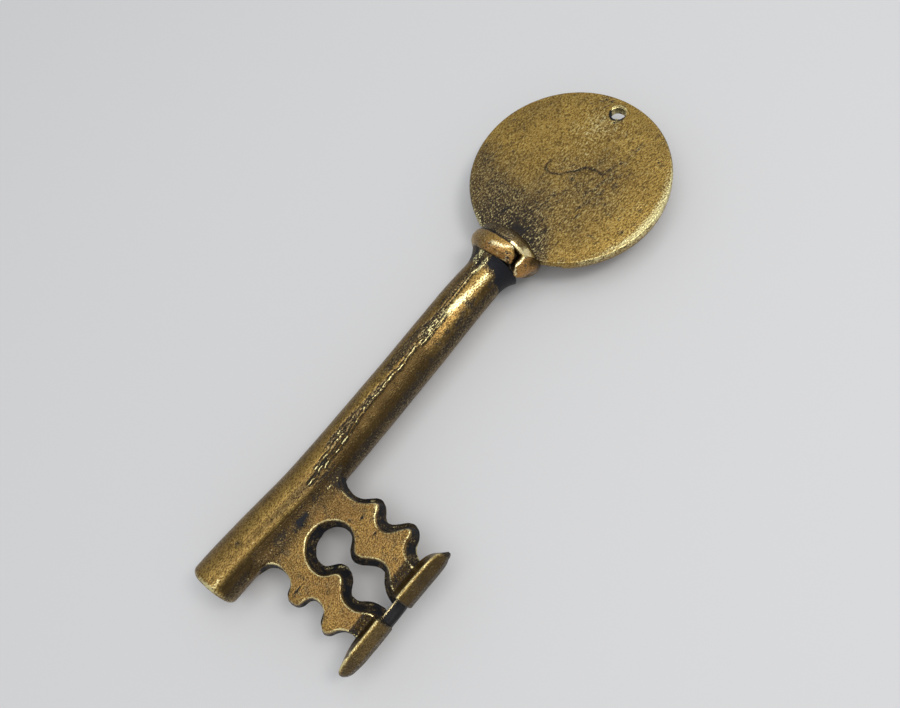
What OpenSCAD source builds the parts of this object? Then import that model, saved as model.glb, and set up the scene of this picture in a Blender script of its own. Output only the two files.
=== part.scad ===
// Decorative key with a plain round bow, a split collar and a pierced bit with two end rails.
// The key lies flat. X runs from the tip end to the bow, the bit points to -Y, and Z = 0 is the
// mid-plane until place() moves the whole key so that it lies on Z = 0, centred in plan.

/* [Shank] */
// Length from the tip end to the shoulder behind the collar
shank_len = 84.9; // [75:0.1:110]
// Diameter of the straight stretch
shank_d = 9.2; // [8:0.1:10.4]
// Diameter of the fatter tip end
tip_d = 10.1; // [8:0.1:12]
// Radius of the rounded edge round the tip end
tip_round = 1.2; // [0.4:0.1:2]
// Distance from the tip end to where the taper ends
taper_len = 27; // [10:0.5:50]
// Radius of the hollow curve that flares out to the shoulder
flare_r = 5; // [2.6:0.1:6]
// Diameter of the shoulder
shoulder_d = 12.6; // [11.4:0.1:14.6]
// Diameter of the spigot that carries the collar and the saddle
spigot_d = 8.4; // [6:0.1:9.2]

/* [Collar] */
// Width of the collar along the shank
collar_w = 3.6; // [3:0.1:4.4]
// Outer diameter of the collar
collar_d = 15.8; // [14.8:0.1:20]
// Width of the collar's thick end
end_w = 5.6; // [4.6:0.1:6.6]
// Outer diameter over the thick end
end_d = 16.6; // [15.4:0.1:20]
// How far the thick end stands back from the shoulder
end_set = 0.3; // [0.1:0.1:0.8]
// Metal round the spigot that the thick end lies on
end_bed = 1.2; // [0.6:0.1:1.6]
// How far round the collar the thick end reaches, in degrees
end_sweep = 66; // [40:1:90]
// Place of the split round the shank, in degrees from +Y over the seen face
split_angle = 132; // [100:1:150]
// Width of the notch at the shank side of the split
notch_w = 3.2; // [1:0.1:4]
// Depth of the notch along the shank
notch_depth = 2.9; // [1:0.1:3.4]
// Width of the split behind the notch
split_w = 0.5; // [0.3:0.1:1]

/* [Saddle] */
// Width of the saddle's bead along the shank
bead_w = 3.7; // [3:0.1:5]
// Outer diameter of the bead
bead_d = 14.6; // [13:0.1:18]
// Half of the tang's width at the bead
tang_half = 6.6; // [4:0.1:6.8]
// Half of the tang's width at its end
tang_end_half = 5; // [3:0.1:6.6]
// Length of the tang behind the bead
tang_len = 4.2; // [2:0.1:5]

/* [Bow] */
// Diameter of the bow disc
bow_d = 42.8; // [38:0.1:60]
// Thickness of the disc
bow_t = 2.4; // [1.8:0.1:3.4]
// Radius of the rounded edge of the disc
bow_round = 0.4; // [0.2:0.1:0.8]
// Metal left between the collar and the edge of the disc in its slot
slot_web = 0.5; // [0.4:0.1:1]
// Depth of the recess on the hidden face that the tang lies in
recess_depth = 1.2; // [0.6:0.1:1.4]
// Length of the recess from the edge of the disc
recess_len = 8; // [7:0.1:12]
// Half of the angle that the recess takes up at the edge of the disc
recess_angle = 33; // [28:1:40]
// Diameter of the hanging hole
hole_d = 3.2; // [2:0.1:5]
// Distance from the middle of the hanging hole to the far edge of the disc
hole_inset = 3.8; // [2.6:0.1:8]
// Sideways place of the hanging hole
hole_side = 0.4; // [-2:0.1:2]

/* [Bit] */
// Distance from the tip end to the centreline of the bit
bit_x = 20.1; // [17:0.1:40]
// Thickness of the bit plate
plate_t = 4.6; // [4:0.1:6]
// Half of the bit's width over its teeth
tooth_reach = 12.2; // [11.6:0.1:14]
// Radius of the rounded corners of the teeth
tooth_round = 1; // [0.4:0.1:1.2]
// Half of the bit's width at its root
root_half = 12.8; // [11:0.1:13.2]
// Radius of the blend between the plate's faces and the shank
root_blend = 2; // [1:0.1:2.6]
// Places of the three hollows down each side, from the shank's axis
hollow_y = [8.9, 18.1, 26.5]; // [8:0.1:28]
// Radii of the three hollows
hollow_r = [4.5, 2.6, 3.1]; // [2.4:0.1:4.6]
// Half of the bit's width at the bottom of each hollow
hollow_half = [9.6, 8.9, 8.6]; // [8.4:0.1:10]
// Place of the keyhole's upper lobe, from the shank's axis
upper_y = 12.9; // [12.4:0.1:14]
// Diameter of the upper lobe
upper_d = 9.6; // [8:0.1:10.4]
// Place of the keyhole's lower lobe, from the shank's axis
lower_y = 22.4; // [21.6:0.1:23.4]
// Diameter of the lower lobe
lower_d = 9; // [8:0.1:10]
// Width of the keyhole's waist
waist_w = 3.4; // [2:0.1:5]
// Thickness of the tongue that each rail sits on
tongue_t = 3; // [2:0.1:3.6]

/* [Rails] */
// Distance from the shank's axis to the plate's shoulder
rail_y = 26.7; // [26.4:0.1:28]
// Width of a rail along the bit
rail_w = 5; // [4:0.1:7]
// Height of a rail over its two ridges
rail_h = 8.2; // [7:0.1:11]
// Distance of the ridge from the rail's inner edge
ridge_in = 3.1; // [2.6:0.1:3.4]
// Distance from the bit's centreline to a rail's outer end
rail_reach = 14.3; // [13.6:0.1:18]
// Radius of a rail's rounded nose
nose_r = 1.3; // [0.8:0.1:1.6]
// Length over which a rail slopes down to its nose
nose_slope = 2; // [1:0.1:3]
// Width of the flat crest of a ridge
crest_w = 1; // [0.4:0.1:1.4]
// Height of the flat foot along a rail's outer face
foot_h = 2; // [1:0.1:4]
// Width of the seat in a rail beside the plate
seat_w = 0.8; // [0.4:0.1:1.2]
// How much the seat rises towards the ridge
seat_rise = 0.4; // [0.1:0.1:0.6]
// Height of the step left between the plate's bevelled shoulder and its tongue
step_left = 0.3; // [0.2:0.05:0.45]
// Depth of the groove that takes the plate's tongue
groove_depth = 1.9; // [1:0.1:2.4]
// Width of the notch between the two rails
rail_gap = 4.8; // [4.2:0.1:6]

/* [Bridge] */
// Width of the bridge along the bit
bridge_w = 2.4; // [2:0.1:2.8]
// Height of the bridge
bridge_h = 3.2; // [2.4:0.1:4.4]
// Distance of the bridge's top above the mid-plane
bridge_top = 0.4; // [0:0.1:1.4]
// Length of the tenon at each end of the bridge
tenon_len = 1.4; // [0.8:0.1:3]
// How much smaller a tenon is than the bridge, all round
tenon_step = 0.5; // [0.3:0.1:0.8]

/* [Fits] */
// Gap left for solder in each seat
seat_gap = 0.06; // [0.02:0.01:0.1]

/* [Hidden] */
$fn = 96;

// How far a cut runs past the face that it opens
over = 1;
// How far two arcs that run into each other overlap, so that they cross cleanly
cross = 0.006;

shank_r = shank_d / 2;
tip_r = tip_d / 2;
shoulder_r = shoulder_d / 2;
spigot_r = spigot_d / 2;
bead_x = shank_len + collar_w;
spigot_end = bead_x + bead_w;

bow_r = bow_d / 2;
bow_x = bead_x + slot_web + bow_r;
sheet_z = recess_depth - bow_t / 2;
hole_x = bow_x + bow_r - hole_inset;

plate_half = plate_t / 2;
rail_end_y = rail_y + rail_w;
ridge_y = rail_y + ridge_in;
gap_half = rail_gap / 2;
tongue_end = rail_y + groove_depth - seat_gap;
bridge_y = rail_end_y - bridge_w / 2 - tenon_step;

key_len = bow_x + bow_r;
y_middle = (bow_r - rail_end_y) / 2;
z_bottom = max(collar_d, rail_h, tip_d, shoulder_d, bead_d) / 2;

brass = [0.62, 0.49, 0.24];
dark_brass = [0.33, 0.26, 0.15];
copper_brass = [0.66, 0.46, 0.25];
rubbed_brass = [0.70, 0.58, 0.32];

// Radius of the shank at a distance from the tip end
function shank_r_at(x) =
    x > taper_len ? shank_r : tip_r + (shank_r - tip_r) * (x - tip_round) / (taper_len - tip_round);

// Moves the key so that it lies on Z = 0 with its middle over the origin
module place() {
    translate([-key_len / 2, -y_middle, z_bottom]) children();
}

// Turns a profile round the shank's axis: its x is the radius, its y runs along the key
module turned() {
    rotate([0, 90, 0]) rotate_extrude() children();
}

// Extrudes a side profile, drawn in y and z, between two places along the key
module along_key(from_x, to_x) {
    translate([from_x, 0, 0]) rotate([90, 0, 90]) linear_extrude(to_x - from_x) children();
}

module both_sides() {
    children();
    mirror([1, 0]) children();
}

// Body of the shank, which a seat cut into another piece makes larger by grow
module shank_profile(grow) {
    polygon([[0, tip_round], [tip_r + grow, tip_round], [shank_r + grow, taper_len],
             [shank_r + grow, shank_len], [0, shank_len]]);
}

// Rounded end of the shank, an edge arc and a flat middle
module tip_profile() {
    translate([tip_r - tip_round, tip_round]) circle(tip_round);
    square([tip_r - tip_round, tip_round + over]);
}

// Hollow curve from the straight stretch out to the shoulder
module flare_profile() {
    difference() {
        translate([0, shank_len - flare_r]) square([shoulder_r, flare_r]);
        translate([shank_r + flare_r, shank_len - flare_r]) circle(flare_r);
    }
}

// Room that the edge of the disc takes up inside the spigot and the saddle
module disc_slot() {
    translate([bow_x, 0, sheet_z]) cylinder(r = bow_r + seat_gap, h = bow_t - recess_depth + seat_gap);
}

module shank() {
    color(brass) difference() {
        turned() union() {
            tip_profile();
            shank_profile(0);
            flare_profile();
            translate([0, shank_len]) square([spigot_r, collar_w + bead_w]);
        }
        disc_slot();
    }
}

// Section of a ring that is flat inside and round outside
module ring_section(inner_r, outer_r, width) {
    bulge = width / 2;
    intersection() {
        translate([inner_r, 0]) square([outer_r - inner_r, width]);
        union() {
            square([outer_r - bulge, width]);
            translate([outer_r - bulge, bulge]) circle(bulge);
        }
    }
}

// Thick end of the collar, which lies over the bead's edge; grow leaves room all round it
module thick_end(grow) {
    inner_r = spigot_r + end_bed - grow;
    margin = asin(grow / inner_r);
    translate([shank_len + end_set - grow, 0, 0])
        rotate([0, 90, 0]) rotate([0, 0, split_angle + 90 - margin])
            rotate_extrude(angle = end_sweep + 2 * margin)
                ring_section(inner_r, end_d / 2 + grow, end_w + 2 * grow);
}

// Notch and split, which run outwards from the spigot
module split_cut() {
    rotate([split_angle, 0, 0]) rotate([-90, 0, 0]) linear_extrude(end_d) polygon([
        [shank_len - over, notch_w / 2], [shank_len + notch_depth, split_w / 2],
        [spigot_end, split_w / 2], [spigot_end, -split_w / 2],
        [shank_len + notch_depth, -split_w / 2], [shank_len - over, -notch_w / 2]]);
}

module collar_ring() {
    color(copper_brass) difference() {
        union() {
            translate([shank_len, 0, 0]) turned() ring_section(spigot_r + seat_gap, collar_d / 2, collar_w);
            thick_end(0);
        }
        split_cut();
        disc_slot();
    }
}

// Tang under the disc, seen in plan
module tang_plan() {
    polygon([[bead_x, -tang_half], [spigot_end, -tang_half], [spigot_end + tang_len, -tang_end_half],
             [spigot_end + tang_len, tang_end_half], [spigot_end, tang_half], [bead_x, tang_half]]);
}

module neck_saddle() {
    color(dark_brass) difference() {
        union() {
            translate([bead_x, 0, 0]) turned() ring_section(spigot_r + seat_gap, bead_d / 2, bead_w);
            translate([0, 0, -bow_t / 2]) linear_extrude(recess_depth) tang_plan();
        }
        translate([bead_x - over, 0, 0]) rotate([0, 90, 0])
            cylinder(r = spigot_r + seat_gap, h = bead_w + over + seat_gap);
        disc_slot();
        thick_end(seat_gap);
    }
}

module disc_profile() {
    square([bow_r - bow_round, bow_t]);
    translate([0, bow_round]) square([bow_r, bow_t - 2 * bow_round]);
    for (z = [bow_round, bow_t - bow_round]) translate([bow_r - bow_round, z]) circle(bow_round);
}

// Recess on the hidden face: a sector of a ring, with squared ends at the edge of the disc
module recess() {
    side = bow_r + over;
    translate([bow_x, 0, -bow_t / 2 - over]) difference() {
        linear_extrude(recess_depth + over) polygon([
            [0, 0], [-side * cos(recess_angle), side * sin(recess_angle)], [-side - over, 0],
            [-side * cos(recess_angle), -side * sin(recess_angle)]]);
        translate([0, 0, -over]) cylinder(r = bow_r - recess_len, h = bow_t + 3 * over);
    }
}

module bow_disc() {
    color(brass) difference() {
        translate([bow_x, 0, -bow_t / 2]) rotate_extrude() disc_profile();
        translate([hole_x, hole_side, -bow_t]) cylinder(d = hole_d, h = 2 * bow_t);
        recess();
    }
}

// Centre of a hollow, measured out from the bit's centreline
function hollow_u(i) = hollow_half[i] + hollow_r[i];

// Corner left outside the arc that rounds a tooth beside hollow i; up is 1 above the hollow
module tooth_corner(i, up) {
    u = tooth_reach - tooth_round;
    apart = hollow_r[i] + tooth_round - cross;
    v = -hollow_y[i] + up * sqrt(apart * apart - pow(hollow_u(i) - u, 2));
    side = max(hollow_u(i), tooth_reach) + over;
    difference() {
        polygon([[u, v], [side, v], [side, -hollow_y[i]], [hollow_u(i), -hollow_y[i]]]);
        translate([u, v]) circle(tooth_round);
    }
}

// Plan of the bit from its centreline out to one side, before the keyhole is cut
module bit_half_plan() {
    difference() {
        union() {
            translate([0, -tongue_end]) square([tooth_reach, tongue_end]);
            translate([0, -hollow_y[0]]) square([root_half, hollow_y[0]]);
        }
        for (i = [0:2]) translate([hollow_u(i), -hollow_y[i]]) circle(hollow_r[i]);
        translate([hollow_half[2], -tongue_end - over]) square([tooth_reach, tongue_end + over - rail_y]);
        tooth_corner(0, -1);
        tooth_corner(1, 1);
        tooth_corner(1, -1);
        tooth_corner(2, 1);
    }
}

// Keyhole: two round lobes joined by a waist, open to the notch between the rails
module keyhole_plan() {
    translate([0, -upper_y]) circle(d = upper_d);
    translate([0, -lower_y]) circle(d = lower_d);
    translate([-waist_w / 2, -lower_y]) square([waist_w, lower_y - upper_y]);
    translate([-gap_half, -tongue_end - over]) square([rail_gap, tongue_end + over - lower_y]);
}

// Side view of the plate: flat faces, blends up to the shank, a bevelled shoulder and the tongue
module plate_side() {
    bevel = (plate_t - tongue_t) / 2 - step_left;
    axis_r = shank_r + root_blend;
    blend_z = plate_half + root_blend;
    blend_y = sqrt(axis_r * axis_r - blend_z * blend_z);
    blend_top = blend_z * (axis_r - root_blend) / axis_r;
    polygon([[0, plate_half], [-rail_y + bevel, plate_half], [-rail_y, plate_half - bevel],
             [-rail_y, tongue_t / 2], [-tongue_end, tongue_t / 2], [-tongue_end, -tongue_t / 2],
             [-rail_y, -tongue_t / 2], [-rail_y, -plate_half + bevel], [-rail_y + bevel, -plate_half],
             [0, -plate_half]]);
    difference() {
        translate([-blend_y, -blend_top]) square([blend_y, 2 * blend_top]);
        for (s = [-1, 1]) translate([-blend_y, s * blend_z]) circle(root_blend);
    }
}

module bit_plate() {
    color(brass) difference() {
        intersection() {
            translate([bit_x, 0, -rail_h / 2]) linear_extrude(rail_h) difference() {
                both_sides() bit_half_plan();
                keyhole_plan();
            }
            along_key(bit_x - root_half - over, bit_x + root_half + over) plate_side();
        }
        turned() shank_profile(seat_gap);
    }
}

// Cross-section of a rail: two ridges, a hollow seat towards the plate and a steep outer face
module rail_section() {
    lip = tongue_t / 2 + step_left;
    lip_end = -rail_y - seat_w;
    lip_top = lip + seat_rise;
    top = rail_h / 2;
    crest = crest_w / 2;
    edge = foot_h / 2;
    polygon([[-rail_y, lip], [lip_end, lip_top], [-ridge_y + crest, top], [-ridge_y - crest, top],
             [-rail_end_y, edge], [-rail_end_y, -edge], [-ridge_y - crest, -top],
             [-ridge_y + crest, -top], [lip_end, -lip_top], [-rail_y, -lip]]);
}

// Stopped groove in a rail that takes one tongue of the plate
module tongue_groove() {
    translate([0, -rail_y - groove_depth, -tongue_t / 2 - seat_gap])
        cube([hollow_half[2] + seat_gap, groove_depth + over, tongue_t + 2 * seat_gap]);
}

// Plan of one rail, from the notch out to its boat-shaped nose
module rail_plan() {
    leg = hollow_half[2];
    nose_u = rail_reach - nose_r;
    nose = [for (a = [60:-15:-60]) [nose_u + nose_r * cos(a), -ridge_y + nose_r * sin(a)]];
    polygon(concat([[gap_half, -rail_y], [leg, -rail_y]], nose,
                   [[nose_u - nose_slope, -rail_end_y], [gap_half, -rail_end_y]]));
}

// Side view of a rail: full height, then sloping down to the nose
module rail_elevation() {
    top = rail_h / 2;
    slope_x = rail_reach - nose_slope;
    polygon([[0, top], [slope_x, top], [rail_reach, nose_r], [rail_reach, -nose_r],
             [slope_x, -top], [0, -top]]);
}

// Tenon of the bridge, or with grow the mortise that takes it
module tenon(grow) {
    w = bridge_w - 2 * tenon_step + 2 * grow;
    h = bridge_h - 2 * tenon_step + 2 * grow;
    reach = gap_half + tenon_len + grow;
    translate([0, -bridge_y - w / 2, bridge_top - bridge_h / 2 - h / 2]) cube([reach, w, h]);
}

// One rail, drawn for the side towards the bow
module rail() {
    difference() {
        intersection() {
            translate([0, 0, -rail_h]) linear_extrude(2 * rail_h) rail_plan();
            along_key(0, rail_reach + over) rail_section();
            rotate([90, 0, 0]) linear_extrude(rail_end_y + over) rail_elevation();
        }
        tongue_groove();
        tenon(seat_gap);
    }
}

module rail_bow_side() {
    color(rubbed_brass) translate([bit_x, 0, 0]) rail();
}

module rail_tip_side() {
    color(rubbed_brass) translate([bit_x, 0, 0]) mirror([1, 0, 0]) rail();
}

module rail_bridge() {
    color(dark_brass) translate([bit_x, 0, 0]) {
        translate([-gap_half, -bridge_y - bridge_w / 2, bridge_top - bridge_h])
            cube([rail_gap, bridge_w, bridge_h]);
        tenon(0);
        mirror([1, 0, 0]) tenon(0);
    }
}

place() {
    shank();
    collar_ring();
    neck_saddle();
    bow_disc();
    bit_plate();
    rail_tip_side();
    rail_bow_side();
    rail_bridge();
}
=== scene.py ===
import math
import bpy
import numpy as np
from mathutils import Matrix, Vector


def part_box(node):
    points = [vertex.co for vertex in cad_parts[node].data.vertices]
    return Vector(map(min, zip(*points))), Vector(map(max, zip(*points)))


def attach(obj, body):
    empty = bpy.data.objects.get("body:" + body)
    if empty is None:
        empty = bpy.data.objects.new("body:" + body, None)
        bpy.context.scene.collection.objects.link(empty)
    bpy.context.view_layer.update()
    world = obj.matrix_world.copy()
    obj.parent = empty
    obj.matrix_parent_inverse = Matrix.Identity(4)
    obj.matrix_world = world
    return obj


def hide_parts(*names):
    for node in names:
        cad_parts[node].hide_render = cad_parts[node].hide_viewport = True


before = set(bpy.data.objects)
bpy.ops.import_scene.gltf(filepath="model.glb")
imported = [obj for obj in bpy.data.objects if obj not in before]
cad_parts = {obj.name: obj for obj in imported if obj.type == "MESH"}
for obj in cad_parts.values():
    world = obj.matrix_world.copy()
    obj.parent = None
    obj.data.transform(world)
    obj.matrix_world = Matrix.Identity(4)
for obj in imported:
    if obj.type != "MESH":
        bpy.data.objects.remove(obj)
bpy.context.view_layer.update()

# Shank. A round brass bar, cast and dressed by hand: fatter and a little bent at its square-cut tip, flared
# to a shoulder at the neck, with the ragged seam of its mould left along the upper side. Every other piece
# is brazed to it or threaded on its spigot.
shank_low, shank_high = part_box("shank")
MM = 0.001
key_start = np.array([shank_low.x, (shank_low.y + shank_high.y) / 2, (shank_low.z + shank_high.z) / 2])
spigot_end = (shank_high.x - shank_low.x) / MM
shoulder_x = 84.9
bar_r = 4.6
tip_start = 0.25
tip_r = 5
tip_round = 1.1
flare_r = 6.5
flare_reach = 4.2
shoulder_r = 5.8
lip_r = 0.35
spigot_r = 4.15

# Stations along it: place along the key, sideways place of its axis, and radius.
bar_stations = np.array([
    (0, 1.32, 5), (5, 1.24, 5), (12, 0.86, 4.95), (19, 0.28, 4.9), (26, -0.22, 4.87), (34, -0.38, 4.87),
    (44, -0.38, 4.83), (54, -0.27, 4.78), (62, -0.18, 4.78), (69, 0, 4.72), (75, 0.16, 4.7), (80, 0, 4.56),
    (83, -0.1, 4.46), (86, -0.1, 4.4)])


def ease(low, high, value):
    """Smooth step: 0 up to low, 1 from high on, and the cubic 3t^2 - 2t^3 in between."""
    t = np.clip((value - low) / (high - low), 0, 1)
    return t * t * (3 - 2 * t)


def fade(low, high, value):
    """The same step downwards: 1 up to low and 0 from high on."""
    return 1 - ease(low, high, value)


def bell(value, middle, width):
    """Bell curve of height 1 round its middle, down to 1/e at one width from it."""
    return np.exp(-(((value - middle) / width) ** 2))


def most(*marks):
    """The highest of several marks at each point."""
    return np.maximum.reduce(np.broadcast_arrays(*marks))


def dabs(u, v, places):
    """Soft oval dabs, the highest at each point: a bell curve along u times one along v, each listed as its
    middle (u, v) and its width along either."""
    return most(*[bell(u, mid_u, du) * bell(v, mid_v, dv) for mid_u, mid_v, du, dv in places])


def turned(along, radius, angle, side=0):
    """Points round the shank's axis: the place along it, side + r cos a, and r sin a."""
    return np.stack([along, side + radius * np.cos(angle), radius * np.sin(angle)], axis=-1)


def lumps(points, size, seed):
    """Smooth noise from -1 to 1. Random heights stand on a cubic lattice with cells of the given size, and
    each point takes the heights of its cell's eight corners, weighted by a smooth step along each axis."""
    heights = np.random.default_rng(seed).uniform(-1, 1, (32, 32, 32))
    cell = np.floor(points / size).astype(int)
    share = ease(0, 1, points / size - cell)
    total = np.zeros(points.shape[:-1])
    for corner in np.ndindex(2, 2, 2):
        i, j, k = np.moveaxis((cell + corner) % 32, -1, 0)
        total += heights[i, j, k] * np.prod(np.where(corner, share, 1 - share), axis=-1)
    return total


def ripples(points, size, seed):
    """Lumps of three sizes on top of each other, each half as large and half as high as the one before."""
    return (lumps(points, size, seed) + lumps(points, size / 2, seed + 1) / 2
            + lumps(points, size / 4, seed + 2) / 4) / 1.75


def raised(rings, height):
    """Rings moved out of the skin by a height at each point, along the cross product of the two grid
    directions, which is turned so that the closed skin has a positive volume."""
    along = np.gradient(rings, axis=0)
    around = np.roll(rings, -1, axis=1) - np.roll(rings, 1, axis=1)
    normal = np.cross(along, around)
    normal *= np.sign(((rings - rings.mean(axis=(0, 1))) * normal).sum())
    normal /= np.maximum(np.linalg.norm(normal, axis=2, keepdims=True), 1e-9)
    return rings + normal * height[..., None]


def skin_faces(rows, cols, looped):
    """Quads between neighbouring rings, with the last ring joined to the first if looped, or else a fan of
    triangles from a pole point to each end ring. The two poles are numbered after the grid's points."""
    index = np.arange(rows * cols).reshape(rows, cols)
    beside = np.roll(index, -1, axis=1)
    quads = np.stack([index, beside, np.roll(beside, -1, axis=0), np.roll(index, -1, axis=0)], axis=-1)
    if looped:
        return quads.reshape(-1, 4).tolist()
    start_fan = np.stack([np.full(cols, index.size), beside[0], index[0]], axis=-1)
    end_fan = np.stack([np.full(cols, index.size + 1), index[-1], beside[-1]], axis=-1)
    return quads[:-1].reshape(-1, 4).tolist() + start_fan.tolist() + end_fan.tolist()


def added(name, data):
    """Puts a new object with this mesh, lamp or camera into the scene."""
    new = bpy.data.objects.new(name, data)
    bpy.context.scene.collection.objects.link(new)
    return new


def skin(node, shells, material):
    """The piece that shows a node of the part, made of closed shells. A shell is (rings in key millimetres,
    marks, looped), and marks holds four marks, each from 0 to 1: how black each point is with grains of soot
    and painted shade, how evenly brown with patina and painted shade, how bright with wear and painted
    highlight, and how red."""
    points, faces, all_marks = [], [], []
    for rings, marks, looped in shells:
        shell = rings.reshape(-1, 3)
        start = sum(len(p) for p in points)
        new_faces = skin_faces(*rings.shape[:2], looped)
        marks = [np.clip(np.broadcast_to(m, rings.shape[:2]), 0, 1).ravel() for m in marks]
        if not looped:
            shell = np.vstack([shell, rings[0].mean(axis=0), rings[-1].mean(axis=0)])
            marks = [np.append(m, [m[0], m[-1]]) for m in marks]
        fans = np.array([f[:3] for f in new_faces] + [[f[0], f[2], f[-1]] for f in new_faces])
        if np.linalg.det(shell[fans] - shell.mean(axis=0)).sum() < 0:
            new_faces = [f[::-1] for f in new_faces]
        points.append(shell)
        faces += [[i + start for i in f] for f in new_faces]
        all_marks.append(marks)
    mesh = bpy.data.meshes.new("key_" + node)
    mesh.from_pydata((np.vstack(points) * MM + key_start).tolist(), [], faces)
    mesh.polygons.foreach_set("use_smooth", np.ones(len(faces), bool))
    for mark, values in zip(("soot_and_shade", "smoke_and_shade", "rub_and_highlight", "copper"), zip(*all_marks)):
        mesh.attributes.new(mark, "FLOAT", "POINT").data.foreach_set("value", np.concatenate(values))
    mesh.materials.append(material)
    piece = added("key_" + node, mesh)
    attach(piece, "root")
    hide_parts(node)


def feed(tree, node, sources):
    """Gives a node's inputs, by name or number, the sockets or the values listed for them."""
    for key, source in sources.items():
        if isinstance(source, bpy.types.NodeSocket):
            tree.links.new(source, node.inputs[key])
        else:
            node.inputs[key].default_value = source


def made(tree, kind, sources, output=0, **settings):
    """An output of a new node of this kind, made with these settings and fed from these sources."""
    node = tree.nodes.new("ShaderNode" + kind)
    for setting, value in settings.items():
        setattr(node, setting, value)
    feed(tree, node, sources)
    return node.outputs[output]


def aged_brass(name, gold, brown, bright, grain_mm=0.27, stained=0.76, painted_glints=0.3, peel=1, bare=0.34,
               stretch=(1, 1, 1), turn=0):
    """Brass under a dark patina. A cloudy noise mixes gold with brown, copper reddens the metal, and the
    smoke mark browns it, as brown patina and as painted shade. The hollows of a fine orange peel are stained
    and its hills carry painted glints. The soot mark lays black on it grain by grain, solid near 1, as soot
    and as painted shade, with more bright flecks the higher bare is, and the rub mark brings all back to
    bright metal, as wear and as painted highlight. Stretch and turn draw the fine grain out, as a brush does."""
    material = bpy.data.materials.new(name)
    material.use_nodes = True
    tree = material.node_tree

    def sum_of(a, share, b):
        return made(tree, "Math", {0: a, 1: share, 2: b}, operation="MULTIPLY_ADD")

    def ranged(value, low, high, to_low=0, to_high=1):
        ends = {"Value": value, "From Min": low, "From Max": high, "To Min": to_low, "To Max": to_high}
        return made(tree, "MapRange", ends, interpolation_type="SMOOTHSTEP")

    def blend(share, a, b):
        return made(tree, "Mix", {0: share, 6: a, 7: b}, 2, data_type="RGBA")

    def grain(size_mm, detail, place):
        look = {"Scale": 1 / (size_mm * MM), "Detail": detail, "Roughness": 0.55, "Vector": place}
        return made(tree, "TexNoise", look, "Fac")

    place = made(tree, "TexCoord", {}, "Object")
    brushed = made(tree, "Mapping", {"Scale": stretch, "Rotation": (0, 0, turn), "Vector": place})
    soot_and_shade, smoke_and_shade, rub_and_highlight, copper = [made(tree, "Attribute", {}, "Fac", attribute_name=mark)
                                for mark in ("soot_and_shade", "smoke_and_shade", "rub_and_highlight", "copper")]
    fine, coarse = grain(grain_mm, 1, brushed), grain(grain_mm * 1.9, 3, place)
    broad, cloud = grain(2.6, 3, place), grain(9, 2, place)
    red_copper, grey_film_and_shade, brown_film_and_shade = (0.46, 0.24, 0.076), (0.14, 0.11, 0.068), (0.056, 0.036, 0.014)
    stain, thin_soot_and_shade, thick_soot_and_shade = (0.1, 0.06, 0.021), (0.036, 0.027, 0.018), (0.014, 0.0145, 0.018)
    tone = blend(ranged(sum_of(broad, 0.7, cloud), 0.62, 1.06), (*brown, 1), (*gold, 1))
    tone = blend(ranged(copper, 0, 1), tone, (*red_copper, 1))
    dulled = blend(ranged(soot_and_shade, 0, 0.62, 0, 0.8), tone, (*grey_film_and_shade, 1))
    browned = ranged(sum_of(fine, 0.5, sum_of(broad, 0.7, smoke_and_shade)), 0.62, 1.6)
    hollow = ranged(sum_of(soot_and_shade, 0.14, sum_of(broad, 0.16, fine)), 0.58, 0.7, 0, stained)
    peeled = blend(hollow, blend(browned, dulled, (*brown_film_and_shade, 1)), (*stain, 1))
    thick = ranged(soot_and_shade, 0.82, 1)
    black = ranged(sum_of(fine, 1.6, sum_of(coarse, 0.35, sum_of(thick, 0.8, soot_and_shade))), 1.42, 1.86)
    grime_and_shade = blend(black, peeled, blend(thick, (*thin_soot_and_shade, 1), (*thick_soot_and_shade, 1)))
    painted_glint = ranged(sum_of(smoke_and_shade, 0.06, sum_of(thick, 0.5, fine)), 0.42, 0.3, 0, painted_glints)
    grime_and_shade = blend(painted_glint, grime_and_shade, (bright[0] * 0.62, bright[1] * 0.6, bright[2] * 0.52, 1))
    bare_and_highlit = sum_of(black, -0.45, sum_of(soot_and_shade, bare, rub_and_highlight))
    wear_and_highlight = ranged(sum_of(fine, -0.9, sum_of(coarse, -0.5, bare_and_highlit)), -0.42, 0.12)
    dull = ranged(sum_of(black, 0.5, fine), 0.3, 1.3, 0.34, 0.62)
    height = sum_of(fine, -1, sum_of(black, -0.35, ranged(rub_and_highlight, 0, 1, 0, 0.1)))
    relief = made(tree, "Bump", {"Strength": peel, "Distance": 0.0001, "Height": height}, "Normal")
    feed(tree, tree.nodes["Principled BSDF"], {
        "Base Color": blend(wear_and_highlight, grime_and_shade, (*bright, 1)), "Metallic": ranged(black, 0, 1, 1.0, 0.72),
        "Roughness": ranged(wear_and_highlight, 0, 1, dull, 0.26), "Normal": relief})
    return material


def bar_at(x):
    """Sideways place of the shank's axis, and its radius: straight lines from station to station, averaged
    over 3 mm either way along the key, so that neither has a corner."""
    near = np.clip(x[..., None] + np.linspace(-3, 3, 13), 0, shoulder_x)
    return [np.interp(near, bar_stations[:, 0], bar_stations[:, column]).mean(axis=-1) for column in (1, 2)]


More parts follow.
